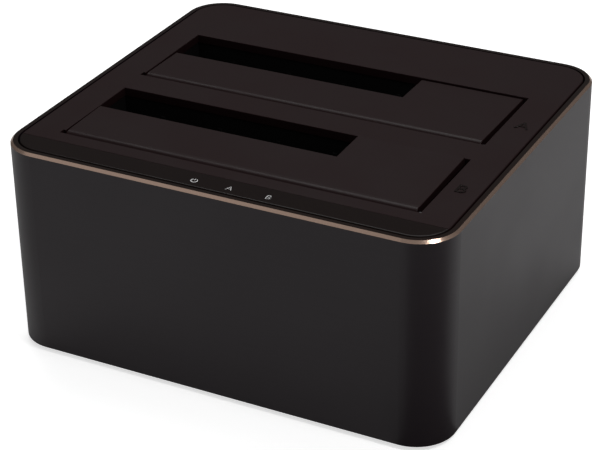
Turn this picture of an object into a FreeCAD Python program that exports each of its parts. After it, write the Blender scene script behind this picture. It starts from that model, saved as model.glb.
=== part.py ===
"""Two-bay drive duplicator: a desktop dock that two bare drives stand in, one behind the other.

Millimetres. X runs along the long front face, Y from front to back and Z upwards.
The origin is on the desk, under the middle of the case.
"""

import FreeCAD, Part
import math
import os

from FreeCAD import Vector

# ---- driving dimensions -------------------------------------------------------------------
CASE_LENGTH = 128.3  # outer sleeve along X
CASE_DEPTH = 114.4  # outer sleeve along Y
FOOT_HEIGHT = 1.3
SLEEVE_HEIGHT = 59.4
CORNER_RADIUS = 11.15
SLEEVE_WALL = 2.0
RIM_CHAMFER = 0.7

SLOT_LENGTH = 104.0  # opening for a 101.6 mm wide 3.5-inch drive
SLOT_DEPTH = 31.8  # 26.1 mm drive beside the flap folded down
SLOT_BACK = {"a": 30.3, "b": -11.0}  # back edge of the rear slot and of the front slot
NOTCH_LENGTH = 72.3  # gap that the flap leaves for a 70 mm wide 2.5-inch drive
NOTCH_DEPTH = 13.6

BEZEL_PROUD = 0.1  # bezel above the sleeve's rim
BEZEL_THICKNESS = 2.4
BEZEL_GAP = 0.5
BEZEL_EDGE = 0.35  # rounding round the bezel's rim
STRIP_BACK = -47.6  # back edge of the glossy indicator strip
STRIP_THICKNESS = 1.2
LIGHT_X = (-6.5, 3.7, 14.8)  # power, bay A, bay B
LIGHT_Y = -51.8

FLAP_THICKNESS = 2.0
BARREL_RADIUS = 2.0
FLAP_FRONT_GAP = 0.3
FLAP_LEFT_GAP = 0.45
FLAP_RIGHT_GAP = 1.4
FLAP_BACK_GAP = 0.45
FLAP_REST_TILT = {"a": -0.9, "b": 1.0}  # degrees at rest: the rear flap low, the front one proud
PIN_RADIUS = 0.75
RUNNING_CLEARANCE = 0.05

BOARD_THICKNESS = 1.6
BAY_WALL = 1.5
BAY_CLEARANCE = 0.2
BUTTON_CLEARANCE = 0.3

# ---- levels and faces worked out from them ------------------------------------------------
SLEEVE_BOTTOM = FOOT_HEIGHT
SLEEVE_TOP = FOOT_HEIGHT + SLEEVE_HEIGHT
INNER_X = CASE_LENGTH / 2 - SLEEVE_WALL
INNER_Y = CASE_DEPTH / 2 - SLEEVE_WALL
INNER_RADIUS = CORNER_RADIUS - SLEEVE_WALL
BEZEL_TOP = SLEEVE_TOP + BEZEL_PROUD
ABOVE = BEZEL_TOP + 1  # clear of everything, for cuts
BEZEL_UNDER = BEZEL_TOP - BEZEL_THICKNESS
BASE_TOP = SLEEVE_BOTTOM + 2.2
BOARD_UNDER = BASE_TOP + 4.0
BOARD_TOP = BOARD_UNDER + BOARD_THICKNESS
BAY_UNDER = BOARD_TOP + 5.9
BAY_FLOOR = BAY_UNDER + 1.6
BAY_TOP = BEZEL_UNDER - BAY_CLEARANCE
SLOT_X = SLOT_LENGTH / 2
SLOT_FRONT = {bay: back - SLOT_DEPTH for bay, back in SLOT_BACK.items()}
SLOT_MIDDLE = {bay: back - SLOT_DEPTH / 2 for bay, back in SLOT_BACK.items()}
NOTCH_RIGHT = -SLOT_X + NOTCH_LENGTH
AXIS_Z = BEZEL_TOP - BARREL_RADIUS
AXIS_Y = {bay: front + FLAP_FRONT_GAP + BARREL_RADIUS for bay, front in SLOT_FRONT.items()}
FLAP_LEFT = -SLOT_X + FLAP_LEFT_GAP
FLAP_RIGHT = SLOT_X - FLAP_RIGHT_GAP
BAY_INNER_X = SLOT_X + BAY_CLEARANCE
BAY_OUTER_X = BAY_INNER_X + BAY_WALL

# ---- fixings and hinge brackets -----------------------------------------------------------
CHANNEL_X = INNER_X - 2.95
CHANNEL_Y = 44.0
CHANNEL_RADIUS = 3.0
CHANNEL_TOP = 52.0
LEG_X = (-49.0, 46.0)  # bay legs that the chassis screws hold
PEG_Y = -47.0  # pegs that hold the indicator board
BOSS_X = 56.6  # bezel bosses beside the bays
EAR_UNDER, EAR_TOP = 50.0, 52.0
BRACKET_IN, BRACKET_OUT = SLOT_X + 0.3, SLOT_X + 3.2
SCREW_RADIUS = 1.15
SCREW_HOLE = SCREW_RADIUS + 0.05
STOP_TABS = (26.0, 41.0)  # left ends of the tabs that stop the flap level with the bezel
TAB_LENGTH = 5.0
SPRING_LEFT, SPRING_RIGHT = -4.2, 4.2
SPRING_COIL_RADIUS, SPRING_WIRE = 1.1, 0.2

# ---- rear connectors ----------------------------------------------------------------------
PORT_Z = 16.2
CUTOUT_X, CUTOUT_BOTTOM, CUTOUT_TOP, CUTOUT_RADIUS = 39.0, 8.2, 24.2, 3.0
PLATE_FACE = INNER_Y - 0.15
PLATE_BACK = PLATE_FACE - 1.7
POWER_X, DC_X, USB_X, COPY_X = 28.0, 10.0, -10.0, -29.0
BUTTON_FACE = CASE_DEPTH / 2 - 0.3
POWER_CAP, COPY_CAP_RADIUS = 7.6, 2.7
SATA_LEFT, SATA_LENGTH, SATA_WIDTH, SATA_TOP = -45.8, 43.2, 7.0, 19.6
SATA_FROM_BACK = 4.7  # drive connector plane from the slot's back edge


# ---- shape helpers ------------------------------------------------------------------------
def block(x0, x1, y0, y1, z0, z1):
    """Box between two corners."""
    return Part.makeBox(x1 - x0, y1 - y0, z1 - z0, Vector(x0, y0, z0))


def post(x, y, z0, z1, radius):
    """Upright cylinder."""
    return Part.makeCylinder(radius, z1 - z0, Vector(x, y, z0), Vector(0, 0, 1))


def rod_x(x0, x1, y, z, radius):
    """Cylinder along X."""
    return Part.makeCylinder(radius, x1 - x0, Vector(x0, y, z), Vector(1, 0, 0))


def rod_y(y0, y1, x, z, radius):
    """Cylinder along Y."""
    return Part.makeCylinder(radius, y1 - y0, Vector(x, y0, z), Vector(0, 1, 0))


def upright_edges(shape):
    """Edges of a shape that run straight up."""
    return [e for e in shape.Edges if e.BoundBox.XLength < 1e-6 and e.BoundBox.YLength < 1e-6]


def rounded_plate(half_x, half_y, radius, z0, z1):
    """Plate about the Z axis with rounded upright corners."""
    plate = block(-half_x, half_x, -half_y, half_y, z0, z1)
    return plate.makeFillet(radius, upright_edges(plate))


def rounded_rear_block(x0, x1, y0, y1, z0, z1, radius):
    """Box whose four edges along Y are rounded, as a port or button is."""
    shape = block(x0, x1, y0, y1, z0, z1)
    along = [e for e in shape.Edges if e.BoundBox.XLength < 1e-6 and e.BoundBox.ZLength < 1e-6]
    return shape.makeFillet(radius, along)


def edges_at(shape, z, inside=None):
    """Edges lying in the plane at height z, within (x0, x1, y0, y1) if that is given."""
    found = []
    for edge in shape.Edges:
        b = edge.BoundBox
        flat = abs(b.ZMin - z) < 1e-4 and abs(b.ZMax - z) < 1e-4
        if flat and inside:
            x0, x1, y0, y1 = inside
            flat = b.XMin > x0 and b.XMax < x1 and b.YMin > y0 and b.YMax < y1
        if flat:
            found.append(edge)
    return found


def joined(shapes):
    """One solid from touching or overlapping shapes."""
    first, rest = shapes[0], list(shapes[1:])
    return first.fuse(rest).removeSplitter() if rest else first


def screw(x, y, head_z, head_height, tip_z, head_radius):
    """Cross-recessed screw that points up, its head at the bottom."""
    head_top = head_z + head_height
    body = joined([
        post(x, y, head_z, head_top, head_radius),
        post(x, y, head_top - 0.1, tip_z, SCREW_RADIUS),
    ])
    rim = [e for e in edges_at(body, head_z) if e.Curve.TypeId == "Part::GeomCircle"]
    body = body.makeFillet(head_height * 0.35, rim)
    arm, width, sink = head_radius * 0.6, head_radius * 0.2, head_height * 0.55
    cross = joined([
        block(x - arm, x + arm, y - width, y + width, head_z - 1, head_z + sink),
        block(x - width, x + width, y - arm, y + arm, head_z - 1, head_z + sink),
    ])
    return body.cut(cross)


# ---- case ---------------------------------------------------------------------------------
def outer_sleeve():
    """Extruded aluminium sleeve: polished rim chamfer, screw channels and a rear cut-out."""
    half_x, half_y = CASE_LENGTH / 2, CASE_DEPTH / 2
    skin = rounded_plate(half_x, half_y, CORNER_RADIUS, SLEEVE_BOTTOM, SLEEVE_TOP)
    skin = skin.makeChamfer(RIM_CHAMFER, edges_at(skin, SLEEVE_TOP))
    bore = rounded_plate(INNER_X, INNER_Y, INNER_RADIUS, SLEEVE_BOTTOM - 1, SLEEVE_TOP + 1)
    sleeve = skin.cut(bore)
    for side in (-1, 1):
        for end in (-1, 1):
            x, y = side * CHANNEL_X, end * CHANNEL_Y
            z0 = BASE_TOP + 0.3
            channel = post(x, y, z0, CHANNEL_TOP, CHANNEL_RADIUS)
            web_end = side * (INNER_X + 0.5)
            web = block(min(x, web_end), max(x, web_end), y - 1.6, y + 1.6, z0, CHANNEL_TOP)
            sleeve = sleeve.fuse([channel, web])
            slit = block(min(x, x - side * 4), max(x, x - side * 4), y - 0.6, y + 0.6, z0, CHANNEL_TOP)
            sleeve = sleeve.cut(post(x, y, z0 - 1, CHANNEL_TOP + 1, SCREW_HOLE)).cut(slit)
    cutout = rounded_rear_block(
        -CUTOUT_X, CUTOUT_X, INNER_Y - 5, half_y + 5, CUTOUT_BOTTOM, CUTOUT_TOP, CUTOUT_RADIUS
    )
    sleeve = sleeve.cut(cutout)
    rear_rim = [
        e for e in sleeve.Edges
        if abs(e.BoundBox.YMin - half_y) < 1e-4 and abs(e.BoundBox.YMax - half_y) < 1e-4
        and e.BoundBox.ZMin > CUTOUT_BOTTOM - 0.5 and e.BoundBox.ZMax < CUTOUT_TOP + 0.5
        and e.BoundBox.XMax < CUTOUT_X + 0.5 and e.BoundBox.XMin > -CUTOUT_X - 0.5
    ]
    return sleeve.makeChamfer(0.4, rear_rim).removeSplitter()


def bezel_outline(z0, z1, inset=0.0):
    """Plate that fits inside the sleeve with the bezel's gap round it, less an inset."""
    gap = BEZEL_GAP + inset
    return rounded_plate(INNER_X - gap, INNER_Y - gap, INNER_RADIUS - gap, z0, z1)


def top_bezel():
    """Moulded top panel: two slots, hinge brackets, screw bosses and a seat for the strip."""
    plate = bezel_outline(BEZEL_UNDER, BEZEL_TOP)
    skirt = bezel_outline(BEZEL_UNDER - 3.6, BEZEL_UNDER).cut(
        bezel_outline(BEZEL_UNDER - 5, BEZEL_UNDER + 1, inset=1.5)
    )
    bezel = plate.fuse(skirt)
    seat = block(-CASE_LENGTH, CASE_LENGTH, -CASE_DEPTH, STRIP_BACK, BEZEL_TOP - STRIP_THICKNESS, ABOVE)
    bezel = bezel.cut(seat)
    for bay in SLOT_BACK:
        front, back, middle = SLOT_FRONT[bay], SLOT_BACK[bay], SLOT_MIDDLE[bay]
        for side in (-1, 1):
            x0, x1 = sorted((side * BRACKET_IN, side * BRACKET_OUT))
            bezel = bezel.fuse(block(x0, x1, front - 0.6, front + 5.1, BEZEL_UNDER - 2.5, BEZEL_UNDER))
            bezel = bezel.fuse(post(side * BOSS_X, middle, EAR_TOP, BEZEL_UNDER, 2.7))
            bezel = bezel.cut(post(side * BOSS_X, middle, EAR_TOP - 1, BEZEL_UNDER + 0.9, SCREW_HOLE))
        bezel = bezel.cut(block(-SLOT_X, SLOT_X, front, back, BEZEL_UNDER - 5, ABOVE))
        relief = block(-SLOT_X - 0.7, -SLOT_X + 1, front, front + 1.7, BEZEL_UNDER - 5, ABOVE)
        bezel = bezel.cut(relief)
        bore = rod_x(-BRACKET_OUT - 1, BRACKET_OUT + 1, AXIS_Y[bay], AXIS_Z, PIN_RADIUS + RUNNING_CLEARANCE)
        bezel = bezel.cut(bore)
    for x in LIGHT_X:
        bezel = bezel.cut(post(x, LIGHT_Y, BEZEL_UNDER - 1, ABOVE, 1.35))
    for x in (-10.4, 20.4):
        bezel = bezel.fuse(post(x, PEG_Y, 49.0, BEZEL_UNDER, 0.95))
    bezel = bezel.removeSplitter()
    top = [e for e in edges_at(bezel, BEZEL_TOP) if e.Length > 5 and e.BoundBox.YMin > STRIP_BACK - 0.01]
    rim = [e for e in top if e.BoundBox.YMax > 40 or e.BoundBox.XMax > BOSS_X or e.BoundBox.XMin < -BOSS_X]
    bezel = bezel.makeFillet(BEZEL_EDGE, rim)
    top = [e for e in edges_at(bezel, BEZEL_TOP) if e.Length > 5 and e.BoundBox.YMin > STRIP_BACK - 0.01]
    slots = [e for e in top if e.BoundBox.YMax < 40 and abs(e.BoundBox.XMax) < BOSS_X and abs(e.BoundBox.XMin) < BOSS_X]
    return bezel.makeFillet(0.22, slots)


def indicator_strip():
    """Glossy strip along the front of the bezel, over the three lights."""
    top = BEZEL_TOP - 0.02
    strip = bezel_outline(BEZEL_TOP - STRIP_THICKNESS + 0.02, top)
    strip = strip.common(block(-CASE_LENGTH, CASE_LENGTH, -CASE_DEPTH, STRIP_BACK - 0.03, 0, ABOVE))
    rim = [e for e in edges_at(strip, top) if e.BoundBox.YMin < STRIP_BACK - 0.1]
    return strip.makeFillet(BEZEL_EDGE, rim)


def base_plate():
    """Bottom cover with screw counterbores, board pillars, foot recesses and vents."""
    plate = bezel_outline(SLEEVE_BOTTOM, BASE_TOP)
    wall = bezel_outline(BASE_TOP, BASE_TOP + 2.5, inset=0.4).cut(
        bezel_outline(BASE_TOP - 1, BASE_TOP + 4, inset=1.8)
    )
    for side in (-1, 1):
        for end in (-1, 1):
            wall = wall.cut(block(
                min(side * 50, side * 70), max(side * 50, side * 70),
                end * CHANNEL_Y - 3.6, end * CHANNEL_Y + 3.6, BASE_TOP, BASE_TOP + 4,
            ))
    rear = block(-44.5, 44.5, INNER_Y - 4.5, INNER_Y, BASE_TOP - 0.01, BASE_TOP + 4)
    base = plate.fuse(wall.cut(rear))
    for side in (-1, 1):
        for end in (-1, 1):
            x, y = side * CHANNEL_X, end * CHANNEL_Y
            base = base.cut(post(x, y, SLEEVE_BOTTOM - 1, SLEEVE_BOTTOM + 1.3, 2.7))
            base = base.cut(post(x, y, SLEEVE_BOTTOM, BASE_TOP + 1, SCREW_HOLE + 0.15))
            base = base.cut(post(side * 46, end * 40, SLEEVE_BOTTOM - 1, SLEEVE_BOTTOM + 0.5, 5.2))
    for y in SLOT_MIDDLE.values():
        for x in LEG_X:
            base = base.fuse(post(x, y, BASE_TOP, BOARD_UNDER, 3.6))
            base = base.cut(post(x, y, SLEEVE_BOTTOM - 1, BASE_TOP + 1.5, 2.6))
            base = base.cut(post(x, y, SLEEVE_BOTTOM, BOARD_UNDER + 1, SCREW_HOLE + 0.15))
    for row in range(9):
        y = -28 + 7 * row
        vent = block(-17, 17, y - 0.9, y + 0.9, SLEEVE_BOTTOM - 1, BASE_TOP + 1)
        base = base.cut(vent.makeFillet(0.85, upright_edges(vent)))
    return base.removeSplitter()


def rubber_feet():
    """Four stick-in feet, each in its recess."""
    feet = []
    for x in (-46, 46):
        for y in (-40, 40):
            foot = post(x, y, 0, SLEEVE_BOTTOM + 0.48, 5.0)
            feet.append(foot.makeFillet(0.5, edges_at(foot, 0)))
    return Part.Compound(feet)


def base_screws():
    """Four screws that hold the base plate in the sleeve's channels."""
    return Part.Compound([
        screw(x, y, SLEEVE_BOTTOM + 0.1, 1.15, 12.0, 2.4)
        for x in (-CHANNEL_X, CHANNEL_X) for y in (-CHANNEL_Y, CHANNEL_Y)
    ])


def chassis_screws():
    """Four screws through the base plate and board into the legs of the bays."""
    return Part.Compound([
        screw(x, y, BASE_TOP - 0.3, 1.75, BAY_UNDER - 0.5, 2.4)
        for x in LEG_X for y in SLOT_MIDDLE.values()
    ])


def bezel_screws():
    """Four screws that hold the bays up against the bezel."""
    return Part.Compound([
        screw(x, y, EAR_UNDER - 1.6, 1.55, BEZEL_UNDER - 0.4, 2.3)
        for x in (-BOSS_X, BOSS_X) for y in SLOT_MIDDLE.values()
    ])


# ---- drive bays ---------------------------------------------------------------------------
def drive_bay(bay):
    """Open-topped well below a slot, with guide ribs, legs and screw ears."""
    front, back, middle = SLOT_FRONT[bay], SLOT_BACK[bay], SLOT_MIDDLE[bay]
    inner_front, inner_back = front - BAY_CLEARANCE, back + BAY_CLEARANCE
    outer_front, outer_back = inner_front - BAY_WALL, inner_back + BAY_WALL
    well = block(-BAY_OUTER_X, BAY_OUTER_X, outer_front, outer_back, BAY_UNDER, BAY_TOP)
    well = well.cut(block(-BAY_INNER_X, BAY_INNER_X, inner_front, inner_back, BAY_FLOOR, BAY_TOP + 1))
    for x in (-40.0, -22.0, -4.0, 13.0):
        well = well.fuse(block(x - 0.6, x + 0.6, inner_back - 0.4, inner_back + 0.1, BAY_FLOOR, BAY_TOP - 4))
    for x in LEG_X:
        well = well.fuse(post(x, middle, BOARD_TOP + 0.05, BAY_UNDER, 2.7))
        well = well.cut(post(x, middle, BOARD_TOP - 1, BAY_UNDER + 0.4, SCREW_HOLE))
    for side in (-1, 1):
        x0, x1 = sorted((side * (BAY_OUTER_X - 0.2), side * (BOSS_X + 2.8)))
        well = well.fuse(block(x0, x1, middle - 3.2, middle + 3.2, EAR_UNDER, EAR_TOP - 0.05))
        well = well.cut(post(side * BOSS_X, middle, EAR_UNDER - 1, EAR_TOP + 1, SCREW_HOLE + 0.1))
        x0, x1 = sorted((side * (BAY_INNER_X - 0.5), side * (BAY_OUTER_X + 1)))
        bracket_room = block(x0, x1, front - 0.9, front + 5.4, BEZEL_UNDER - 2.8, BAY_TOP + 1)
        well = well.cut(bracket_room)
    for x in STOP_TABS:
        tab_path = block(x - 0.5, x + TAB_LENGTH + 0.5, inner_back - 0.5, outer_back + 1, 49.0, BAY_TOP + 1)
        well = well.cut(tab_path)
    spring_gap = block(SPRING_LEFT - 1, SPRING_LEFT + 3, outer_front - 1, inner_front + 0.5, BAY_TOP - 1.4, BAY_TOP + 1)
    well = well.cut(spring_gap)
    y = back - SATA_FROM_BACK
    socket = block(
        SATA_LEFT - 0.5, SATA_LEFT + SATA_LENGTH + 0.5,
        y - SATA_WIDTH / 2 - 0.5, y + SATA_WIDTH / 2 + 0.5, BAY_UNDER - 1, BAY_FLOOR + 1,
    )
    return well.cut(socket).removeSplitter()


def flap(bay):
    """L-shaped door that turns about its front edge and folds down when a large drive goes in."""
    y, back = AXIS_Y[bay], SLOT_BACK[bay]
    under = BEZEL_TOP - FLAP_THICKNESS
    bar_back = back - NOTCH_DEPTH
    wing_back = back - FLAP_BACK_GAP
    plate = block(FLAP_LEFT, FLAP_RIGHT, y, bar_back, under, BEZEL_TOP).fuse(
        block(NOTCH_RIGHT, FLAP_RIGHT, bar_back - 1, wing_back, under, BEZEL_TOP)
    ).removeSplitter()
    outer = [
        e for e in edges_at(plate, BEZEL_TOP)
        if e.BoundBox.YMin > y + 0.01 and e.BoundBox.YLength < 0.01 or e.BoundBox.XLength < 0.01
    ]
    plate = plate.makeFillet(0.2, outer)
    barrel = rod_x(FLAP_LEFT, FLAP_RIGHT, y, AXIS_Z, BARREL_RADIUS)
    ends = [e for e in barrel.Edges if e.Curve.TypeId == "Part::GeomCircle"]
    barrel = barrel.makeFillet(0.3, ends)
    ribs = [
        block(FLAP_LEFT + 1, FLAP_RIGHT - 1, bar_back - 2.2, bar_back - 1, under - 1.2, under + 0.5),
        block(NOTCH_RIGHT + 1, NOTCH_RIGHT + 2.2, bar_back - 2, wing_back - 1, under - 1.2, under + 0.5),
        block(FLAP_RIGHT - 2.2, FLAP_RIGHT - 1, y + 1, wing_back - 1, under - 1.2, under + 0.5),
        block(FLAP_LEFT + 1, FLAP_LEFT + 2.2, y + 1, bar_back - 1, under - 1.2, under + 0.5),
    ]
    rise = (back + 0.9 - y) * math.sin(math.radians(FLAP_REST_TILT[bay]))
    tab_top = BEZEL_UNDER - 0.05 - rise
    tabs = []
    for x in STOP_TABS:
        tabs.append(block(x, x + TAB_LENGTH, wing_back - 2, wing_back, BEZEL_UNDER - 1.5, under + 0.5))
        tabs.append(block(x, x + TAB_LENGTH, wing_back - 2, back + 0.9, BEZEL_UNDER - 1.5, tab_top))
    door = plate.fuse([barrel] + ribs + tabs)
    door = door.cut(rod_x(-SLOT_X - 1, SLOT_X + 1, y, AXIS_Z, PIN_RADIUS + RUNNING_CLEARANCE))
    pocket = rod_x(SPRING_LEFT, SPRING_RIGHT, y, AXIS_Z, SPRING_COIL_RADIUS + 0.4)
    below = block(SPRING_LEFT, SPRING_RIGHT, y - 4, y + 2.3, AXIS_Z - 4, AXIS_Z)
    door = door.cut(pocket.fuse(below)).removeSplitter()
    door.rotate(Vector(0, y, AXIS_Z), Vector(1, 0, 0), FLAP_REST_TILT[bay])
    return door


def hinge_pin(bay):
    """Steel rod that the flap turns on, held in the bezel's brackets."""
    return rod_x(-BRACKET_OUT, BRACKET_OUT, AXIS_Y[bay], AXIS_Z, PIN_RADIUS)


def flap_spring(bay):
    """Torsion spring round the pin: one leg under the bezel, the other under the flap."""
    y = AXIS_Y[bay]
    length, turns = 6.6, 12
    flap_rise = 9.0 * math.sin(math.radians(FLAP_REST_TILT[bay]))
    helix = Part.makeHelix(length / turns, length, SPRING_COIL_RADIUS)
    section = Part.Wire(Part.makeCircle(SPRING_WIRE, Vector(SPRING_COIL_RADIUS, 0, 0), Vector(0, 1, 0)))
    coil = Part.Wire(helix.Edges).makePipeShell([section], True, True)
    # The coil's own axis turns to lie along X, and its two ends come to the bottom.
    coil.rotate(Vector(0, 0, 0), Vector(0, 1, 0), 90)
    coil.translate(Vector(-length / 2, y, AXIS_Z))
    low = AXIS_Z - SPRING_COIL_RADIUS
    legs = []
    for x, reach, end_z in (
        (-length / 2, SLOT_FRONT[bay] - 2.4 - y, BEZEL_UNDER - SPRING_WIRE - 0.15),
        (length / 2, 9.0, BEZEL_TOP - FLAP_THICKNESS - SPRING_WIRE - 0.1 + flap_rise),
    ):
        start, end = Vector(x, y, low), Vector(x, y + reach, end_z)
        run = end - start
        legs.append(Part.makeCylinder(SPRING_WIRE, run.Length, start, run))
        legs.append(Part.makeSphere(SPRING_WIRE * 1.3, start))
    return coil.fuse(legs)


# ---- indicator lights ---------------------------------------------------------------------
INDICATOR_BOARD_Z = 50.0
INDICATOR_BOARD_TOP = INDICATOR_BOARD_Z + 1.2
CABLE_X, CABLE_WIDTH, CABLE_THICKNESS = 13.0, 5.0, 0.9
CABLE_TOP_Y, CABLE_LOW_Y = -49.3, -47.6
CABLE_TOP_Z, CABLE_LOW_Z = 46.4, 14.6


def light_guide():
    """Clear moulding: three light pipes on a common bar."""
    pipes = [post(x, LIGHT_Y, INDICATOR_BOARD_TOP + 1.0, BEZEL_TOP - STRIP_THICKNESS - 0.05, 1.15) for x in LIGHT_X]
    bar = block(LIGHT_X[0] - 2.5, LIGHT_X[2] + 2.5, LIGHT_Y - 1.2, LIGHT_Y + 1.2, 54.6, 56.0)
    return joined([bar] + pipes)


def indicator_board():
    """Small board that carries the lights, hung on two bezel pegs."""
    board = block(-13.0, 23.0, LIGHT_Y - 1.5, PEG_Y + 2, INDICATOR_BOARD_Z, INDICATOR_BOARD_TOP)
    for x in (-10.4, 20.4):
        board = board.cut(post(x, PEG_Y, 40, 60, 1.1))
    return board


def indicator_leds():
    """Three surface-mounted lights."""
    top = INDICATOR_BOARD_TOP
    return Part.Compound([
        block(x - 1.0, x + 1.0, LIGHT_Y - 0.65, LIGHT_Y + 0.65, top, top + 0.8) for x in LIGHT_X
    ])


def cable_plugs():
    """White plugs at both ends of the indicator cable."""
    half = CABLE_WIDTH / 2 + 1
    return Part.Compound([
        block(CABLE_X - half, CABLE_X + half, CABLE_TOP_Y - 1.8, CABLE_TOP_Y + 1.8, CABLE_TOP_Z, INDICATOR_BOARD_Z),
        block(CABLE_X - half, CABLE_X + half, CABLE_LOW_Y - 1.8, CABLE_LOW_Y + 1.8, BOARD_TOP, CABLE_LOW_Z),
    ])


def indicator_cable():
    """Flat cable down the front of the case, in two wide bends."""
    route = [
        (CABLE_TOP_Y, CABLE_TOP_Z), (CABLE_TOP_Y, 37.0), (-47.0, 27.5), (CABLE_LOW_Y, 20.5), (CABLE_LOW_Y, CABLE_LOW_Z),
    ]
    points = [Vector(CABLE_X, y, z) for y, z in route]
    edges, here = [], points[0]
    for before, corner, after in zip(points, points[1:], points[2:]):
        into, out = corner - before, after - corner
        half_turn = into.getAngle(out) / 2
        trim = 0.45 * min(into.Length, out.Length)
        into.normalize()
        out.normalize()
        arc_start, arc_end = corner - into * trim, corner + out * trim
        bend = corner + (out - into).normalize() * (trim * (1 / math.cos(half_turn) - 1) / math.tan(half_turn))
        edges.append(Part.LineSegment(here, arc_start).toShape())
        edges.append(Part.Arc(arc_start, bend, arc_end).toShape())
        here = arc_end
    edges.append(Part.LineSegment(here, points[-1]).toShape())
    half_w, half_t = CABLE_WIDTH / 2, CABLE_THICKNESS / 2
    x, y, z = CABLE_X, CABLE_TOP_Y, CABLE_TOP_Z
    corners = [
        Vector(x - half_w, y - half_t, z), Vector(x + half_w, y - half_t, z),
        Vector(x + half_w, y + half_t, z), Vector(x - half_w, y + half_t, z),
    ]
    section = Part.makePolygon(corners + corners[:1])
    return Part.Wire(edges).makePipeShell([section], True, False)


# ---- main board ---------------------------------------------------------------------------
def main_board():
    """Circuit board across the floor of the case."""
    board = block(-54.8, 54.8, -51.8, PLATE_BACK - 0.5, BOARD_UNDER, BOARD_TOP)
    board = board.makeFillet(2.0, upright_edges(board))
    for y in SLOT_MIDDLE.values():
        for x in LEG_X:
            board = board.cut(post(x, y, 0, 60, SCREW_HOLE + 0.15))
    return board


def chip(x, y, length, width, height):
    """Packaged circuit with a row of legs down each long side."""
    body = block(x - length / 2, x + length / 2, y - width / 2, y + width / 2, BOARD_TOP + 0.1, BOARD_TOP + height)
    top = edges_at(body, BOARD_TOP + height)
    return body.makeChamfer(0.15, top)


def bridge_chip():
    """Bridge and copy controller."""
    return chip(22.0, SLOT_MIDDLE["a"], 12.0, 12.0, 1.5)


def board_chips():
    """Regulators, memory and the crystal."""
    places = [
        (30.0, -2.0, 5.0, 4.0, 1.5), (10.0, -5.0, 5.0, 6.0, 1.6), (34.0, SLOT_MIDDLE["b"], 6.5, 5.0, 1.6),
        (-30.0, -5.0, 5.0, 4.0, 1.5), (8.0, 12.0, 3.2, 2.5, 0.9), (-20.0, SLOT_MIDDLE["b"], 9.0, 6.0, 1.4),
    ]
    return Part.Compound([chip(*place) for place in places])


def power_inductors():
    """Moulded power inductors."""
    return Part.Compound([chip(x, y, 7.0, 7.0, 3.6) for x, y in ((20.0, -30.0), (8.0, -30.0), (34.0, 8.0))])


def board_capacitors():
    """Can capacitors beside the power inlet."""
    cans = []
    for x, y in ((39.5, 40.0), (47.5, 40.0), (47.5, 48.0), (-43.0, 41.0), (-51.0, 41.0)):
        foot = block(x - 3.3, x + 3.3, y - 3.3, y + 3.3, BOARD_TOP + 0.05, BOARD_TOP + 0.8)
        foot = foot.makeChamfer(0.9, upright_edges(foot)[:2])
        can = post(x, y, BOARD_TOP + 0.7, BOARD_TOP + 8.0, 3.15)
        can = can.makeFillet(0.4, edges_at(can, BOARD_TOP + 8.0))
        cans.append(foot.fuse(can))
    return Part.Compound(cans)


# ---- drive connectors ---------------------------------------------------------------------
SIGNAL_WAYS, POWER_WAYS, WAY_PITCH = 7, 15, 1.27
SIGNAL_SLOT, POWER_SLOT = 11.2, 21.6
SLOT_WIDTH = 2.2


def sata_slots():
    """Left end and length of the signal slot and of the power slot."""
    left = SATA_LEFT + 3.6
    return [(left, POWER_SLOT, POWER_WAYS), (left + POWER_SLOT + 3.2, SIGNAL_SLOT, SIGNAL_WAYS)]


def sata_connector(bay):
    """Upright 22-way socket that the drive drops onto."""
    y = SLOT_BACK[bay] - SATA_FROM_BACK
    half = SATA_WIDTH / 2
    right = SATA_LEFT + SATA_LENGTH
    body = block(SATA_LEFT, right, y - half, y + half, BOARD_TOP, SATA_TOP)
    for x in (SATA_LEFT, right - 2.8):
        guide = block(x, x + 2.8, y - 2.2, y + 2.2, SATA_TOP - 0.5, SATA_TOP + 2.4)
        body = body.fuse(guide.makeChamfer(0.8, edges_at(guide, SATA_TOP + 2.4)))
    for left, length, _ in sata_slots():
        slot = block(left, left + length, y - SLOT_WIDTH / 2, y + SLOT_WIDTH / 2, SATA_TOP - 6.5, SATA_TOP + 1)
        key = block(left, left + 1.2, y, y + 2.4, SATA_TOP - 6.5, SATA_TOP + 1)
        body = body.cut(slot).cut(key)
    return body.removeSplitter()


def sata_contacts(bay):
    """Plated contacts along one wall of each slot."""
    y = SLOT_BACK[bay] - SATA_FROM_BACK
    wall = y - SLOT_WIDTH / 2 + 0.02
    blades = []
    for left, length, ways in sata_slots():
        first = left + length / 2 - WAY_PITCH * (ways - 1) / 2
        for way in range(ways):
            x = first + WAY_PITCH * way
            blades.append(block(x - 0.3, x + 0.3, wall, wall + 0.45, SATA_TOP - 6.4, SATA_TOP - 0.8))
    return Part.Compound(blades)


# ---- rear ports and switches --------------------------------------------------------------
USB_WIDTH, USB_HEIGHT, USB_LENGTH = 12.0, 12.4, 17.8
USB_BOTTOM = BOARD_TOP
PORT_FACE = CASE_DEPTH / 2 - 1.2


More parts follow.
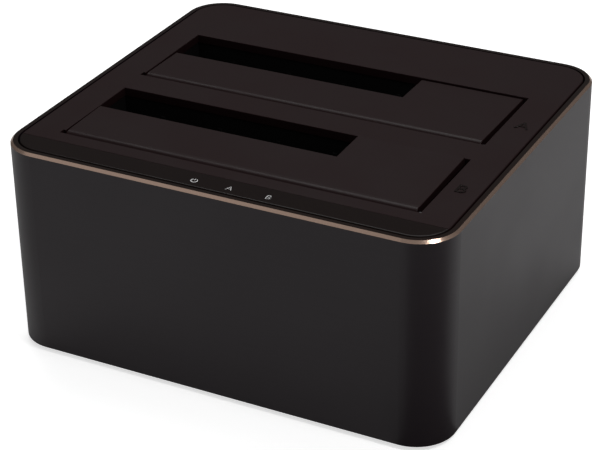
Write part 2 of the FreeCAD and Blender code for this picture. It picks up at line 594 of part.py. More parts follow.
def rear_io_plate():
    """Plastic plate behind the sleeve's rear cut-out, with a hole for each port and button."""
    plate = rounded_rear_block(-43.0, 43.0, PLATE_BACK, PLATE_FACE, BASE_TOP + 0.4, CUTOUT_TOP + 3, 2.0)
    raised = rounded_rear_block(
        -CUTOUT_X + 0.2, CUTOUT_X - 0.2, PLATE_FACE - 0.1, PLATE_FACE + 0.6,
        CUTOUT_BOTTOM + 0.2, CUTOUT_TOP - 0.2, CUTOUT_RADIUS - 0.2,
    )
    plate = plate.fuse(raised)
    gap, y0, y1 = BUTTON_CLEARANCE, PLATE_BACK - 1, CASE_DEPTH / 2
    half = POWER_CAP / 2 + gap
    holes = [
        rounded_rear_block(POWER_X - half, POWER_X + half, y0, y1, PORT_Z - half, PORT_Z + half, 1.6),
        rod_y(y0, y1, COPY_X, PORT_Z, COPY_CAP_RADIUS + gap),
        rod_y(y0, y1, DC_X, PORT_Z, 4.3),
        rounded_rear_block(
            USB_X - USB_WIDTH / 2 - 0.2, USB_X + USB_WIDTH / 2 + 0.2, y0, y1,
            USB_BOTTOM - 0.2, USB_BOTTOM + USB_HEIGHT + 0.2, 0.6,
        ),
    ]
    for hole in holes:
        plate = plate.cut(hole)
    return plate.removeSplitter()


def usb_profile(grow, y0, y1):
    """Type B outline: a chamfered lower part and the narrow upper step, grown all round."""
    z = USB_BOTTOM + 1.3
    half, step = 4.25 + grow, 2.9 + grow
    low, shoulder, body_top, top = z - grow, z + 6.1, z + 7.7 + grow, z + 10.1 + grow
    outline = [
        (-half, low), (half, low), (half, shoulder), (half - 1.2, body_top), (step, body_top),
        (step, top), (-step, top), (-step, body_top), (-half + 1.2, body_top), (-half, shoulder),
    ]
    points = [Vector(USB_X + x, y0, height) for x, height in outline]
    return Part.Face(Part.makePolygon(points + points[:1])).extrude(Vector(0, y1 - y0, 0))


def usb_port_shell():
    """Plated steel shell of the type B port."""
    back = PORT_FACE - USB_LENGTH
    shell = rounded_rear_block(
        USB_X - USB_WIDTH / 2, USB_X + USB_WIDTH / 2, back, PORT_FACE, USB_BOTTOM, USB_BOTTOM + USB_HEIGHT, 0.4
    )
    return shell.cut(usb_profile(0.35, back + 0.6, PORT_FACE + 1))


def usb_port_tongue():
    """Moulded insert: a thin liner, the lower tongue and the upper tongue."""
    back = PORT_FACE - USB_LENGTH + 0.7
    liner = usb_profile(0.3, back, PORT_FACE - 0.3).cut(usb_profile(0.0, back + 7.0, PORT_FACE + 1))
    z = USB_BOTTOM + 1.3
    lower = block(USB_X - 2.8, USB_X + 2.8, back + 6, PORT_FACE - 1.2, z + 2.3, z + 5.3)
    upper = block(USB_X - 2.2, USB_X + 2.2, back + 6, PORT_FACE - 1.2, z + 8.1, z + 9.1)
    return joined([liner, lower, upper])


def usb_port_contacts():
    """Contacts on both faces of the lower tongue and along the upper one."""
    z = USB_BOTTOM + 1.3
    y0, y1 = PORT_FACE - 10.0, PORT_FACE - 1.8
    blades = []
    for x in (-1.25, 1.25):
        blades.append(block(USB_X + x - 0.4, USB_X + x + 0.4, y0, y1, z + 2.05, z + 2.28))
        blades.append(block(USB_X + x - 0.4, USB_X + x + 0.4, y0, y1, z + 5.32, z + 5.55))
    for n in range(5):
        x = USB_X + 0.9 * (n - 2)
        blades.append(block(x - 0.2, x + 0.2, y0, y1, z + 7.85, z + 8.08))
    return Part.Compound(blades)


def dc_jack_body():
    """Moulded body of the 5.5 mm power inlet."""
    back = PORT_FACE - 14.0
    body = rounded_rear_block(DC_X - 4.5, DC_X + 4.5, back, PLATE_BACK - 0.2, BOARD_TOP, PORT_Z + 4.5, 0.5)
    nose = rod_y(PLATE_BACK - 0.5, PORT_FACE, DC_X, PORT_Z, 4.1)
    return body.fuse(nose).cut(rod_y(back + 4, PORT_FACE + 1, DC_X, PORT_Z, 2.85)).removeSplitter()


def dc_jack_pin():
    """Centre pin of the power inlet."""
    pin = rod_y(PORT_FACE - 9.9, PORT_FACE - 1.4, DC_X, PORT_Z, 1.0)
    tip = [e for e in pin.Edges if abs(e.BoundBox.YMax - (PORT_FACE - 1.4)) < 1e-4 and e.BoundBox.YLength < 1e-4]
    return pin.makeFillet(0.5, tip)


SWITCH_FACE = PLATE_BACK - 4.0


def power_switch_body():
    """Push-on, push-off switch on the board."""
    body = rounded_rear_block(POWER_X - 4.3, POWER_X + 4.3, 34.5, SWITCH_FACE, BOARD_TOP, PORT_Z + 4.3, 0.4)
    return body.cut(block(POWER_X - 1.8, POWER_X + 1.8, 37.5, SWITCH_FACE + 1, PORT_Z - 1.8, PORT_Z + 1.8))


def power_button():
    """Square push button with its stem and a flange behind the plate."""
    half = POWER_CAP / 2
    cap = rounded_rear_block(POWER_X - half, POWER_X + half, PLATE_BACK - 1.1, BUTTON_FACE, PORT_Z - half, PORT_Z + half, 1.4)
    face = [e for e in cap.Edges if abs(e.BoundBox.YMin - BUTTON_FACE) < 1e-4 and e.BoundBox.YLength < 1e-4]
    cap = cap.makeFillet(0.4, face)
    lip = block(
        POWER_X - half - 0.8, POWER_X + half + 0.8, PLATE_BACK - 1.2, PLATE_BACK - 0.1,
        PORT_Z - half - 0.8, PORT_Z + half + 0.8,
    )
    stem = block(POWER_X - 1.6, POWER_X + 1.6, 41.0, PLATE_BACK - 1.0, PORT_Z - 1.6, PORT_Z + 1.6)
    return joined([cap, lip, stem])


def copy_switch_body():
    """Momentary switch on the board that starts a copy."""
    body = rounded_rear_block(COPY_X - 3.0, COPY_X + 3.0, 42.5, SWITCH_FACE, BOARD_TOP, PORT_Z + 3.0, 0.4)
    return body.cut(rod_y(45.0, SWITCH_FACE + 1, COPY_X, PORT_Z, 1.5))


def copy_button():
    """Round push button with its stem and a flange behind the plate."""
    cap = rod_y(PLATE_BACK - 1.1, BUTTON_FACE - 0.6, COPY_X, PORT_Z, COPY_CAP_RADIUS)
    face = [e for e in cap.Edges if abs(e.BoundBox.YMin - (BUTTON_FACE - 0.6)) < 1e-4 and e.BoundBox.YLength < 1e-4]
    cap = cap.makeFillet(0.5, face)
    lip = rod_y(PLATE_BACK - 1.2, PLATE_BACK - 0.1, COPY_X, PORT_Z, COPY_CAP_RADIUS + 0.8)
    stem = rod_y(46.5, PLATE_BACK - 1.0, COPY_X, PORT_Z, 1.2)
    return joined([cap, lip, stem])


# ---- assembly -----------------------------------------------------------------------------
def all_parts():
    """Every piece of the object by its node name."""
    parts = {
        "outer_sleeve": outer_sleeve(),
        "top_bezel": top_bezel(),
        "indicator_strip": indicator_strip(),
        "base_plate": base_plate(),
        "rubber_feet": rubber_feet(),
        "base_screws": base_screws(),
        "chassis_screws": chassis_screws(),
        "bezel_screws": bezel_screws(),
        "light_guide": light_guide(),
        "indicator_board": indicator_board(),
        "indicator_leds": indicator_leds(),
        "cable_plugs": cable_plugs(),
        "indicator_cable": indicator_cable(),
        "main_board": main_board(),
        "bridge_chip": bridge_chip(),
        "board_chips": board_chips(),
        "power_inductors": power_inductors(),
        "board_capacitors": board_capacitors(),
        "rear_io_plate": rear_io_plate(),
        "usb_port_shell": usb_port_shell(),
        "usb_port_tongue": usb_port_tongue(),
        "usb_port_contacts": usb_port_contacts(),
        "dc_jack_body": dc_jack_body(),
        "dc_jack_pin": dc_jack_pin(),
        "power_switch_body": power_switch_body(),
        "power_button": power_button(),
        "copy_switch_body": copy_switch_body(),
        "copy_button": copy_button(),
    }
    for bay in SLOT_BACK:
        parts[f"drive_bay_{bay}"] = drive_bay(bay)
        parts[f"flap_{bay}"] = flap(bay)
        parts[f"hinge_pin_{bay}"] = hinge_pin(bay)
        parts[f"flap_spring_{bay}"] = flap_spring(bay)
        parts[f"sata_connector_{bay}"] = sata_connector(bay)
        parts[f"sata_contacts_{bay}"] = sata_contacts(bay)
    return parts


def main():
    os.makedirs("parts", exist_ok=True)
    for name, shape in all_parts().items():
        if not shape.isValid():
            print("not valid:", name)
        print(f"{name}: {len(shape.Solids)} solids, {shape.Volume:.1f} mm3")
        shape.exportStep(os.path.join("parts", name + ".step"))


main()
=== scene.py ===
"""Looks of the two-bay drive duplicator: finishes, printed and raised marks, light and camera.

Metres, in the frame of the CAD part. X runs along the long front face, Y to the back, Z up.
"""

import math

import bpy
from mathutils import Matrix, Vector


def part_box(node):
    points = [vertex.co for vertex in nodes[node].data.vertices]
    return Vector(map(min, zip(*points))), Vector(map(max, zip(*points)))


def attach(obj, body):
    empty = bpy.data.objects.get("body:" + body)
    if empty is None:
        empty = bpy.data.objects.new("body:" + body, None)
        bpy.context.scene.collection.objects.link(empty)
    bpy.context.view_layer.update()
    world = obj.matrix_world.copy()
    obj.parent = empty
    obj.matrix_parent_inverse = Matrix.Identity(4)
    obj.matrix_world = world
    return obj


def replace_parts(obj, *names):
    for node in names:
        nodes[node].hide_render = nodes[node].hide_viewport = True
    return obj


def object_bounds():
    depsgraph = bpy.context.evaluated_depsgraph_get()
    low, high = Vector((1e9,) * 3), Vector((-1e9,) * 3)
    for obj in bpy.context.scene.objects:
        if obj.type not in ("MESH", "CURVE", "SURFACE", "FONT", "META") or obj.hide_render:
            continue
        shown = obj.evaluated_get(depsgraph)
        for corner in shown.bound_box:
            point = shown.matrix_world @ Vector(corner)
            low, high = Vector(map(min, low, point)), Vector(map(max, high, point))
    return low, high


MM = 0.001

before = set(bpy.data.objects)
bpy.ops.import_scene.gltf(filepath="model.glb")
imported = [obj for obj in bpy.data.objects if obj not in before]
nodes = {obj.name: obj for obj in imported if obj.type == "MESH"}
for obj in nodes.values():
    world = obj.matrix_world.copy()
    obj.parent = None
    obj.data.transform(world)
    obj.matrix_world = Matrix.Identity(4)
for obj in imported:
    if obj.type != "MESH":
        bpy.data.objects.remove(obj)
cad_low, cad_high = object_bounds()
CASE = "case"


# ---- node helpers ---------------------------------------------------------------------------
class Surface:
    """A new material with a Principled shader and short ways to add nodes to it."""

    def __init__(self, name, roughness=0.5, metallic=0.0, specular=0.5):
        self.material = bpy.data.materials.new(name)
        self.material.use_nodes = True
        self.tree = self.material.node_tree
        self.shader = self.tree.nodes["Principled BSDF"]
        self.shader.inputs["Metallic"].default_value = metallic
        self.shader.inputs["Roughness"].default_value = roughness
        self.shader.inputs["Specular IOR Level"].default_value = specular
        self.place = self.node("ShaderNodeTexCoord").outputs["Object"]

    def node(self, kind, **settings):
        """A new node of that kind."""
        made = self.tree.nodes.new(kind)
        for name, value in settings.items():
            setattr(made, name, value)
        return made

    def link(self, source, socket):
        self.tree.links.new(source, socket)

    def put(self, socket, value):
        """Link an output, or set a plain value."""
        if isinstance(value, bpy.types.NodeSocket):
            self.link(value, socket)
        else:
            socket.default_value = value

    def math(self, operation, a, b=0.0, clamp=False):
        """Sum, difference or product of two values."""
        made = self.node("ShaderNodeMath", operation=operation, use_clamp=clamp)
        self.put(made.inputs[0], a)
        self.put(made.inputs[1], b)
        return made.outputs[0]

    def between(self, value, low, high, out_low=0.0, out_high=1.0):
        """Value mapped from one range to another, held at the ends."""
        made = self.node("ShaderNodeMapRange", interpolation_type="SMOOTHSTEP")
        self.put(made.inputs["Value"], value)
        made.inputs["From Min"].default_value = low
        made.inputs["From Max"].default_value = high
        made.inputs["To Min"].default_value = out_low
        made.inputs["To Max"].default_value = out_high
        return made.outputs["Result"]

    def noise(self, size, detail=3.0, stretch=(1, 1, 1)):
        """Noise whose features are about size metres across."""
        mapping = self.node("ShaderNodeMapping")
        self.link(self.place, mapping.inputs["Vector"])
        mapping.inputs["Scale"].default_value = [factor / size for factor in stretch]
        made = self.node("ShaderNodeTexNoise")
        self.link(mapping.outputs["Vector"], made.inputs["Vector"])
        made.inputs["Scale"].default_value = 1.0
        made.inputs["Detail"].default_value = detail
        made.inputs["Roughness"].default_value = 0.55
        return made.outputs["Fac"]

    def mix(self, factor, a, b):
        """Colour between a and b."""
        made = self.node("ShaderNodeMix", data_type="RGBA")
        self.put(made.inputs[0], factor)
        self.put(made.inputs[6], a)
        self.put(made.inputs[7], b)
        return made.outputs[2]

    def colour(self, value):
        """Set the base colour."""
        self.put(self.shader.inputs["Base Color"], value)

    def bump(self, height, depth):
        """Raise the surface by height, at most depth metres."""
        made = self.node("ShaderNodeBump")
        made.inputs["Strength"].default_value = 1.0
        made.inputs["Distance"].default_value = depth
        self.link(height, made.inputs["Height"])
        self.link(made.outputs["Normal"], self.shader.inputs["Normal"])

    def position(self):
        """X, Y and Z of the shaded point in the part's frame."""
        parts = self.node("ShaderNodeSeparateXYZ")
        self.link(self.place, parts.inputs[0])
        return parts.outputs


def rgb(red, green, blue):
    """Opaque colour."""
    return (red, green, blue, 1.0)


def scaled(colour, factor):
    """The colour made lighter or darker."""
    return rgb(*(channel * factor for channel in colour[:3]))


# ---- finishes -------------------------------------------------------------------------------
PANEL = rgb(0.0105, 0.0034, 0.0038)
STRIP = rgb(0.0055, 0.0022, 0.0017)
SLEEVE_DARK, SLEEVE_LIGHT = rgb(0.0072, 0.0020, 0.0048), rgb(0.0092, 0.0032, 0.0064)
RIM_FLAT, BARE_RIM = rgb(0.034, 0.018, 0.014), rgb(0.55, 0.385, 0.305)
RIM_CUT = 0.80 * MM
STRIP_EDGE = 0.02 * MM


def moulded(name, colour, roughness=0.6, grain=0.22 * MM, depth=0.012 * MM, specular=0.16, worn=None):
    """Moulded plastic with an eroded grain, rubbed smooth in front of the line Y = worn."""
    s = Surface(name, roughness=roughness, specular=specular)
    fine = s.noise(grain, detail=2)
    broad = s.noise(30 * MM)
    tone = s.between(s.math("ADD", s.math("MULTIPLY", fine, 0.5), s.math("MULTIPLY", broad, 0.5)), 0.3, 0.7)
    s.colour(s.mix(tone, scaled(colour, 0.88), scaled(colour, 1.12)))
    rough = s.between(broad, 0.3, 0.7, roughness - 0.04, roughness + 0.04)
    if worn is not None:
        rubbed = s.between(s.position()["Y"], worn - 0.2 * MM, worn, 0.2, 0.0)
        rough = s.math("SUBTRACT", rough, rubbed)
    s.put(s.shader.inputs["Roughness"], rough)
    s.bump(fine, depth)
    return s.material


def door_plastic(bay):
    """Plastic of a door, smooth along its rounded front edge."""
    return moulded(
        f"flap_plastic_{bay}", scaled(PANEL, 0.97), roughness=0.58, specular=0.105,
        worn=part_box(f"hinge_pin_{bay}")[1].y,
    )


def gloss(name, colour, roughness, specular=0.5, polished_from=None):
    """Polished plastic with a faint unevenness, satin below the level Z = polished_from."""
    s = Surface(name, roughness=roughness, specular=specular)
    broad = s.noise(12 * MM, detail=2)
    fine = s.noise(0.8 * MM)
    s.colour(s.mix(broad, scaled(colour, 0.9), scaled(colour, 1.1)))
    rough = s.between(fine, 0.35, 0.75, roughness * 0.85, roughness * 1.3)
    if polished_from is not None:
        edge = s.between(s.position()["Z"], polished_from - 0.02 * MM, polished_from, 0.5, 0.0)
        rough = s.math("ADD", rough, edge)
    s.put(s.shader.inputs["Roughness"], rough)
    s.bump(broad, 0.01 * MM)
    return s.material


def glossy_strip():
    """Polished strip whose rounded edge is satin."""
    polished_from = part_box("indicator_strip")[1].z - STRIP_EDGE
    return gloss("strip_gloss", STRIP, roughness=0.15, specular=0.14, polished_from=polished_from)


def metal(name, colour, roughness=0.3, stretch=(1, 1, 1)):
    """Bare metal with fine tooling marks."""
    s = Surface(name, roughness=roughness, metallic=1.0)
    marks = s.noise(0.6 * MM, stretch=stretch)
    s.colour(s.mix(marks, scaled(colour, 0.88), scaled(colour, 1.08)))
    s.put(s.shader.inputs["Roughness"], s.between(marks, 0.3, 0.7, roughness * 0.8, roughness * 1.25))
    s.bump(marks, 0.004 * MM)
    return s.material


def anodised_sleeve():
    """Blasted and anodised aluminium, with the bare diamond-cut chamfer round the top rim."""
    s = Surface("anodised_sleeve", roughness=0.42, specular=0.46)
    blast = s.noise(0.35 * MM)
    along = s.noise(1.2 * MM, stretch=(0.02, 0.02, 1))
    broad = s.noise(50 * MM, detail=2)
    mottle = s.math("ADD", s.math("MULTIPLY", blast, 0.4), s.math("MULTIPLY", along, 0.6))
    skin = s.mix(s.between(mottle, 0.35, 0.65), SLEEVE_DARK, SLEEVE_LIGHT)
    normal = s.node("ShaderNodeSeparateXYZ")
    s.link(s.node("ShaderNodeNewGeometry").outputs["True Normal"], normal.inputs[0])
    upward = normal.outputs["Z"]
    slanted = s.math("MULTIPLY", s.between(upward, 0.30, 0.32), s.between(upward, 0.93, 0.95, 1.0, 0.0))
    cut_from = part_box("outer_sleeve")[1].z - RIM_CUT
    cut = s.math("MULTIPLY", slanted, s.between(s.position()["Z"], cut_from, cut_from + 0.02 * MM))
    flat = s.between(upward, 0.95, 0.97)
    skin = s.mix(flat, skin, RIM_FLAT)
    s.colour(s.mix(cut, skin, BARE_RIM))
    s.put(s.shader.inputs["Metallic"], s.math("MULTIPLY", s.math("ADD", cut, flat, clamp=True), 0.9))
    satin = s.between(broad, 0.3, 0.7, 0.40, 0.46)
    polish = s.math("ADD", s.math("MULTIPLY", cut, 0.22), s.math("MULTIPLY", flat, 0.27))
    s.put(s.shader.inputs["Roughness"], s.math("SUBTRACT", satin, polish))
    s.bump(blast, 0.006 * MM)
    return s.material


def circuit_board(name):
    """Solder mask over copper tracks."""
    s = Surface(name, roughness=0.35, specular=0.5)
    cells = s.node("ShaderNodeTexVoronoi", distance="MANHATTAN", feature="DISTANCE_TO_EDGE")
    spread = s.node("ShaderNodeMapping")
    s.link(s.place, spread.inputs["Vector"])
    spread.inputs["Scale"].default_value = (420, 420, 1)
    s.link(spread.outputs["Vector"], cells.inputs["Vector"])
    cells.inputs["Scale"].default_value = 1.0
    track = s.between(cells.outputs["Distance"], 0.06, 0.12, 1.0, 0.0)
    s.colour(s.mix(track, rgb(0.006, 0.055, 0.022), rgb(0.012, 0.11, 0.04)))
    s.bump(track, 0.03 * MM)
    return s.material


def clear_guide(name):
    """Frosted clear moulding."""
    s = Surface(name, roughness=0.25, specular=0.5)
    s.shader.inputs["Transmission Weight"].default_value = 0.7
    haze = s.noise(1 * MM, detail=2)
    s.colour(s.mix(haze, rgb(0.70, 0.74, 0.78), rgb(0.86, 0.88, 0.90)))
    s.bump(haze, 0.01 * MM)
    return s.material


def ribbon(name):
    """Flat cable with a ridge over each wire."""
    s = Surface(name, roughness=0.45)
    wave = s.node("ShaderNodeTexWave", wave_type="BANDS", bands_direction="X")
    s.link(s.place, wave.inputs["Vector"])
    wave.inputs["Scale"].default_value = 160.0
    s.colour(s.mix(wave.outputs["Fac"], rgb(0.03, 0.03, 0.034), rgb(0.10, 0.10, 0.11)))
    s.bump(wave.outputs["Fac"], 0.1 * MM)
    return s.material


finishes = {
    "outer_sleeve": anodised_sleeve(),
    "top_bezel": moulded("panel_plastic", PANEL, specular=0.105),
    "flap_a": door_plastic("a"),
    "flap_b": door_plastic("b"),
    "indicator_strip": glossy_strip(),
    "drive_bay_a": moulded("bay_plastic", rgb(0.0022, 0.0020, 0.0020), roughness=0.7),
    "base_plate": moulded("base_plastic", rgb(0.012, 0.0115, 0.012)),
    "rear_io_plate": moulded("rear_plastic", rgb(0.010, 0.0095, 0.010), roughness=0.5),
    "power_button": moulded("button_plastic", rgb(0.016, 0.0155, 0.016), roughness=0.35, depth=0.005 * MM),
    "rubber_feet": moulded("foot_rubber", rgb(0.020, 0.020, 0.021), roughness=0.85, grain=0.5 * MM),
    "sata_connector_a": moulded("socket_plastic", rgb(0.010, 0.010, 0.011), roughness=0.4),
    "dc_jack_body": moulded("jack_plastic", rgb(0.011, 0.011, 0.011), roughness=0.4),
    "bridge_chip": moulded("chip_epoxy", rgb(0.012, 0.012, 0.0125), roughness=0.55),
    "power_inductors": moulded("inductor_core", rgb(0.05, 0.05, 0.052), roughness=0.7, grain=0.4 * MM),
    "cable_plugs": moulded("plug_nylon", rgb(0.72, 0.70, 0.62), roughness=0.4),
    "usb_port_tongue": moulded("port_liner", rgb(0.012, 0.045, 0.26), roughness=0.4),
    "indicator_leds": gloss("led_lens", rgb(0.80, 0.80, 0.70), roughness=0.2),
    "light_guide": clear_guide("guide_clear"),
    "main_board": circuit_board("board_mask"),
    "indicator_cable": ribbon("cable_skin"),
    "base_screws": metal("screw_black", rgb(0.10, 0.10, 0.105), roughness=0.35),
    "hinge_pin_a": metal("pin_steel", rgb(0.11, 0.11, 0.115), roughness=0.35, stretch=(0.1, 1, 1)),
    "flap_spring_a": metal("spring_steel", rgb(0.5, 0.5, 0.5), roughness=0.3),
    "board_capacitors": metal("can_aluminium", rgb(0.62, 0.62, 0.64), roughness=0.35, stretch=(1, 1, 0.1)),
    "usb_port_shell": metal("port_nickel", rgb(0.62, 0.60, 0.57), roughness=0.25, stretch=(1, 0.15, 1)),
    "sata_contacts_a": metal("contact_gold", rgb(0.83, 0.60, 0.24), roughness=0.2),
}
same_finish = {
    "drive_bay_b": "drive_bay_a", "copy_button": "power_button",
    "sata_connector_b": "sata_connector_a", "sata_contacts_b": "sata_contacts_a",
    "usb_port_contacts": "sata_contacts_a", "dc_jack_pin": "usb_port_shell",
    "power_switch_body": "dc_jack_body", "copy_switch_body": "dc_jack_body",
    "board_chips": "bridge_chip", "indicator_board": "main_board",
    "chassis_screws": "base_screws", "bezel_screws": "base_screws",
    "hinge_pin_b": "hinge_pin_a", "flap_spring_b": "flap_spring_a",
}
for name, piece in nodes.items():
    piece.data.materials.clear()
    piece.data.materials.append(finishes[same_finish.get(name, name)])


# ---- marks ----------------------------------------------------------------------------------
def printed(name, colour):
    """Silk-screened ink."""
    s = Surface(name, roughness=0.5)
    grain = s.noise(0.4 * MM, detail=2)
    s.colour(s.mix(grain, scaled(colour, 0.92), colour))
    s.bump(grain, 0.004 * MM)
    return s.material


def mesh_of(obj, name):
    """Turn a text or curve object into a mesh object of that name."""
    bpy.context.view_layer.update()
    data = bpy.data.meshes.new_from_object(obj.evaluated_get(bpy.context.evaluated_depsgraph_get()))
    made = bpy.data.objects.new(name, data)
    made.matrix_world = obj.matrix_world.copy()
    bpy.context.collection.objects.link(made)
    bpy.data.objects.remove(obj)
    return made


def tube(name, paths, radius, resolution):
    """Round bar along each path, with closed ends, as one mesh."""
    curve = bpy.data.curves.new(name, "CURVE")
    curve.dimensions = "3D"
    curve.bevel_depth = radius
    curve.bevel_resolution = resolution
    curve.use_fill_caps = True
    for points in paths:
        spline = curve.splines.new("POLY")
        spline.points.add(len(points) - 1)
        for point, place in zip(spline.points, points):
            point.co = (*place, 1)
    obj = bpy.data.objects.new(name, curve)
    bpy.context.collection.objects.link(obj)
    return mesh_of(obj, name)


def letter(name, character, height, place, thickness, material, bevel=0.0, bold=0.0):
    """Upright capital lying at place, its middle there and its face up, as a thin solid."""
    text = bpy.data.curves.new(name, "FONT")
    text.body = character
    text.size = 1.0
    text.align_x, text.align_y = "CENTER", "CENTER"
    text.resolution_u = 6
    obj = bpy.data.objects.new(name, text)
    bpy.context.collection.objects.link(obj)
    bpy.context.view_layer.update()
    text.size = height / obj.dimensions.y
    text.offset = bold
    text.extrude = thickness / 2
    text.bevel_depth = bevel
    bpy.context.view_layer.update()
    made = mesh_of(obj, name)
    low = [min(v.co[i] for v in made.data.vertices) for i in range(3)]
    high = [max(v.co[i] for v in made.data.vertices) for i in range(3)]
    middle = Vector([(a + b) / 2 for a, b in zip(low, high)])
    middle.z = low[2]
    made.data.transform(Matrix.Translation(-middle))
    made.data.transform(Matrix.Translation(place))
    made.data.materials.append(material)
    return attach(made, CASE)


def stroke(name, paths, width, place, thickness, material):
    """Line drawing of constant width on a flat face, as a thin solid."""
    made = tube(name, paths, width / 2, resolution=4)
    made.data.transform(Matrix.Diagonal((1, 1, thickness / width, 1)))
    made.data.transform(Matrix.Translation(place))
    made.data.materials.append(material)
    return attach(made, CASE)


def arc(radius, start, end, steps=24):
    """Points along a flat circle, from one angle to another in degrees."""
    angles = [math.radians(start + (end - start) * n / steps) for n in range(steps + 1)]
    return [(radius * math.cos(angle), radius * math.sin(angle), 0) for angle in angles]


def power_mark(radius):
    """Broken ring with a line through the gap."""
    return [arc(radius, 128, 412), [(0, radius * 0.25, 0), (0, radius * 1.12, 0)]]


INK = 0.05 * MM
HALF_LED = 1.0 * MM
POWER_RADIUS, POWER_LINE = 0.86 * MM, 0.22 * MM
LIGHT_A_X = 3.7 * MM
LIGHT_LETTER, LIGHT_THINNED = 2.05 * MM, 0.08 * MM
BAY_LETTER, BAY_RELIEF, BAY_ROUNDING = 3.9 * MM, 0.16 * MM, 0.03 * MM
BAY_PLACES = {"A": (57.0 * MM, 13.3 * MM), "B": (56.4 * MM, -27.2 * MM)}

strip_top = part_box("indicator_strip")[1].z
panel_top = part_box("top_bezel")[1].z


def mark_lights():
    """Printed power mark, A and B, each over its light."""
    ink = printed("mark_ink", rgb(0.78, 0.78, 0.78))
    low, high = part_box("indicator_leds")
    y = (low.y + high.y) / 2
    first, last = low.x + HALF_LED, high.x - HALF_LED
    stroke("power_light_mark", power_mark(POWER_RADIUS), POWER_LINE, (first, y, strip_top), INK, ink)
    for character, x in (("A", LIGHT_A_X), ("B", last)):
        place = (x, y, strip_top - 0.01 * MM)
        letter(f"light_mark_{character}", character, LIGHT_LETTER, place, INK, ink, bold=-LIGHT_THINNED)


def mark_bays():
    """Raised A and B on the panel, beside the bays."""
    for character, (x, y) in BAY_PLACES.items():
        place = (x, y, panel_top - BAY_ROUNDING)
        letter(
            f"bay_mark_{character}", character, BAY_LETTER, place, BAY_RELIEF,
            finishes["indicator_strip"], bevel=BAY_ROUNDING,
        )


mark_lights()
mark_bays()


# ---- door springs ---------------------------------------------------------------------------
COIL_RADIUS, HALF_COIL, TURNS, STEPS_PER_TURN = 1.1 * MM, 3.3 * MM, 12, 16
WIRE_RADIUS, WIRE_GAP = 0.2 * MM, 0.02 * MM
LEG_LENGTH, LEG_DEPTH = 9 * MM, 2.3 * MM
ANCHOR_DEPTH = 2.75 * MM
# how far the back edge of each door points up at rest
DOOR_REST_TILT = {"a": math.radians(-0.9), "b": math.radians(1.0)}


def wire(name, points, body):
    """Round steel wire through some points, riding on a body."""
    made = tube(name, [points], WIRE_RADIUS, resolution=2)
    made.data.materials.append(finishes["flap_spring_a"])
    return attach(made, body)


def door_spring(bay):
    """Torsion spring in two pieces, so that the leg under the door folds down with the door."""
    pin_low, pin_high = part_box(f"hinge_pin_{bay}")
    y, z = (pin_low.y + pin_high.y) / 2, (pin_low.z + pin_high.z) / 2
    anchor_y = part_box(f"flap_spring_{bay}")[0].y + WIRE_RADIUS / 2
    coil = [(-HALF_COIL, anchor_y, panel_top - ANCHOR_DEPTH)]
    steps = TURNS * STEPS_PER_TURN
    for step in range(steps + 1):
        turn = 2 * math.pi * (step / STEPS_PER_TURN - 0.25)
        x = HALF_COIL * (2 * step / steps - 1)
        coil.append((x, y + COIL_RADIUS * math.cos(turn), z + COIL_RADIUS * math.sin(turn)))
    leg_x = HALF_COIL + 2 * WIRE_RADIUS + WIRE_GAP
    tip_z = panel_top - LEG_DEPTH + LEG_LENGTH * math.sin(DOOR_REST_TILT[bay])
    leg = [
        (leg_x, y - 0.5 * MM, z - COIL_RADIUS), (leg_x, y, z - COIL_RADIUS), (leg_x, y + LEG_LENGTH, tip_z),
    ]
    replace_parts(wire(f"spring_coil_{bay}", coil, CASE), f"flap_spring_{bay}")
    wire(f"spring_leg_{bay}", leg, f"door_{bay}")


for bay in "ab":
    door_spring(bay)


# ---- stage ----------------------------------------------------------------------------------
FLOOR_DROP = 0.05 * MM
FLOOR_WHITE, FLOOR_GLOW = 0.76, 0.66
FADE_FROM, FADE_TO = 0.3, 0.9
LOW_SKY, HIGH_SKY = 0.13, 0.27
# card that paints a dark reflection into the front right corner; camera, diffuse light and shadows don't
# see it
DARK_REFLECTION_INSET, DARK_REFLECTION_RADIUS, DARK_REFLECTION_HEIGHT = 11 * MM, 150 * MM, 0.6 * MM
DARK_REFLECTION_START, DARK_REFLECTION_SWEEP, DARK_REFLECTION_STEPS = math.radians(-4), math.radians(108), 24


def make_world():
    """White for the camera, and a soft light that grows towards the top of the sky."""
    world = bpy.data.worlds.new("studio")
    bpy.context.scene.world = world
    world.use_nodes = True
    tree = world.node_tree
    tree.nodes.clear()
    out = tree.nodes.new("ShaderNodeOutputWorld")
    mix = tree.nodes.new("ShaderNodeMixShader")
    seen = tree.nodes.new("ShaderNodeBackground")
    light = tree.nodes.new("ShaderNodeBackground")
    path = tree.nodes.new("ShaderNodeLightPath")
    seen.inputs["Color"].default_value = (1, 1, 1, 1)
    seen.inputs["Strength"].default_value = 1.0
    light.inputs["Color"].default_value = (1, 1, 1, 1)
    place = tree.nodes.new("ShaderNodeTexCoord")
    parts = tree.nodes.new("ShaderNodeSeparateXYZ")
    fade = tree.nodes.new("ShaderNodeMapRange")
    fade.interpolation_type = "SMOOTHSTEP"
    fade.inputs["From Min"].default_value = FADE_FROM
    fade.inputs["From Max"].default_value = FADE_TO
    fade.inputs["To Min"].default_value = LOW_SKY
    fade.inputs["To Max"].default_value = HIGH_SKY
    tree.links.new(place.outputs["Generated"], parts.inputs[0])
    tree.links.new(parts.outputs["Z"], fade.inputs["Value"])
    tree.links.new(fade.outputs["Result"], light.inputs["Strength"])
    tree.links.new(path.outputs["Is Camera Ray"], mix.inputs["Fac"])
    tree.links.new(light.outputs[0], mix.inputs[1])
    tree.links.new(seen.outputs[0], mix.inputs[2])
    tree.links.new(mix.outputs[0], out.inputs["Surface"])


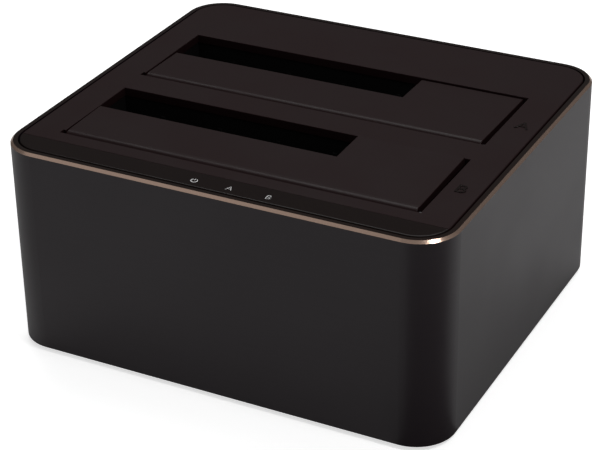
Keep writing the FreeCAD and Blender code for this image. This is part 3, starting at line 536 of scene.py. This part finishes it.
def make_floor():
    """Pale floor that the camera sees near white."""
    bpy.ops.mesh.primitive_plane_add(size=6.0, location=(0, 0, -FLOOR_DROP))
    floor = bpy.context.object
    floor.name = "floor"
    material = bpy.data.materials.new("floor_white")
    material.use_nodes = True
    tree = material.node_tree
    tree.nodes.clear()
    out = tree.nodes.new("ShaderNodeOutputMaterial")
    diffuse = tree.nodes.new("ShaderNodeBsdfDiffuse")
    glow = tree.nodes.new("ShaderNodeEmission")
    add = tree.nodes.new("ShaderNodeAddShader")
    mix = tree.nodes.new("ShaderNodeMixShader")
    path = tree.nodes.new("ShaderNodeLightPath")
    diffuse.inputs["Color"].default_value = rgb(FLOOR_WHITE, FLOOR_WHITE, FLOOR_WHITE)
    glow.inputs["Strength"].default_value = FLOOR_GLOW
    tree.links.new(diffuse.outputs[0], add.inputs[0])
    tree.links.new(glow.outputs[0], add.inputs[1])
    tree.links.new(path.outputs["Is Camera Ray"], mix.inputs["Fac"])
    tree.links.new(diffuse.outputs[0], mix.inputs[1])
    tree.links.new(add.outputs[0], mix.inputs[2])
    tree.links.new(mix.outputs[0], out.inputs["Surface"])
    floor.data.materials.append(material)


def make_painted_dark_reflection():
    """Dark card on the floor before the front right corner, which only reflections show: a painted dark
    reflection, since it blocks no light and casts no shadow.
    """
    middle = Vector((cad_high.x - DARK_REFLECTION_INSET, cad_low.y + DARK_REFLECTION_INSET, DARK_REFLECTION_HEIGHT))
    outline = [middle]
    for step in range(DARK_REFLECTION_STEPS + 1):
        turn = DARK_REFLECTION_START + DARK_REFLECTION_SWEEP * step / DARK_REFLECTION_STEPS
        outline.append(middle + Vector((math.sin(turn), -math.cos(turn), 0)) * DARK_REFLECTION_RADIUS)
    mesh = bpy.data.meshes.new("painted_reflection_card")
    mesh.from_pydata([tuple(point) for point in outline], [], [list(range(len(outline)))])
    painted_reflection_card = bpy.data.objects.new("painted_reflection_card", mesh)
    bpy.context.collection.objects.link(painted_reflection_card)
    painted_reflection_card.visible_camera = False
    painted_reflection_card.visible_diffuse = False
    painted_reflection_card.visible_shadow = False
    painted_reflection_card.visible_transmission = False
    s = Surface("painted_dark_reflection_finish", roughness=0.9, specular=0.0)
    grain = s.noise(4 * MM, detail=2)
    s.colour(s.mix(grain, rgb(0.22, 0.22, 0.22), rgb(0.26, 0.26, 0.26)))
    mesh.materials.append(s.material)


def area_light(name, direction, distance, size, power):
    """Square lamp at that direction from the object, facing it."""
    light = bpy.data.lights.new(name, "AREA")
    light.size = size
    light.energy = power
    obj = bpy.data.objects.new(name, light)
    bpy.context.collection.objects.link(obj)
    middle = (cad_low + cad_high) / 2
    away = Vector(direction).normalized()
    obj.location = middle + away * distance
    obj.rotation_euler = away.to_track_quat("Z", "Y").to_euler()


make_world()
make_floor()
# painted dark reflection for the front right corner
make_painted_dark_reflection()
area_light("key", (-0.22, 0.40, 0.88), distance=1.2, size=0.72, power=6.2)
area_light("sheen", (-0.50, -0.45, 0.75), distance=0.8, size=0.35, power=0.08)
area_light("spark", (0.533, -0.144, 0.831), distance=0.8, size=0.20, power=2.0)


# ---- camera ---------------------------------------------------------------------------------
AZIMUTH, ELEVATION, ROLL = math.radians(27.3806), math.radians(28.6881), math.radians(-0.8789)
TARGET = Vector((0.006938, -0.019954, 0.035380))
DISTANCE, FOCAL_LENGTH, FILM_WIDTH = 0.516441, 115.072, 36.0


def make_camera():
    """Camera above the front right, at the distance of a product shot."""
    flat = math.cos(ELEVATION)
    away = Vector((math.sin(AZIMUTH) * flat, -math.cos(AZIMUTH) * flat, math.sin(ELEVATION)))
    sideways = Vector((0, 0, 1)).cross(away).normalized()
    upward = away.cross(sideways)
    right = math.cos(ROLL) * sideways + math.sin(ROLL) * upward
    up = -math.sin(ROLL) * sideways + math.cos(ROLL) * upward
    place = TARGET + away * DISTANCE
    camera = bpy.data.objects.new("camera", bpy.data.cameras.new("camera"))
    bpy.context.collection.objects.link(camera)
    camera.matrix_world = Matrix((
        (right.x, up.x, away.x, place.x),
        (right.y, up.y, away.y, place.y),
        (right.z, up.z, away.z, place.z),
        (0, 0, 0, 1),
    ))
    camera.data.sensor_width = FILM_WIDTH
    camera.data.lens = FOCAL_LENGTH
    camera.data.clip_start = 0.01
    bpy.context.scene.camera = camera


make_camera()
bpy.context.scene.view_settings.view_transform = "Standard"
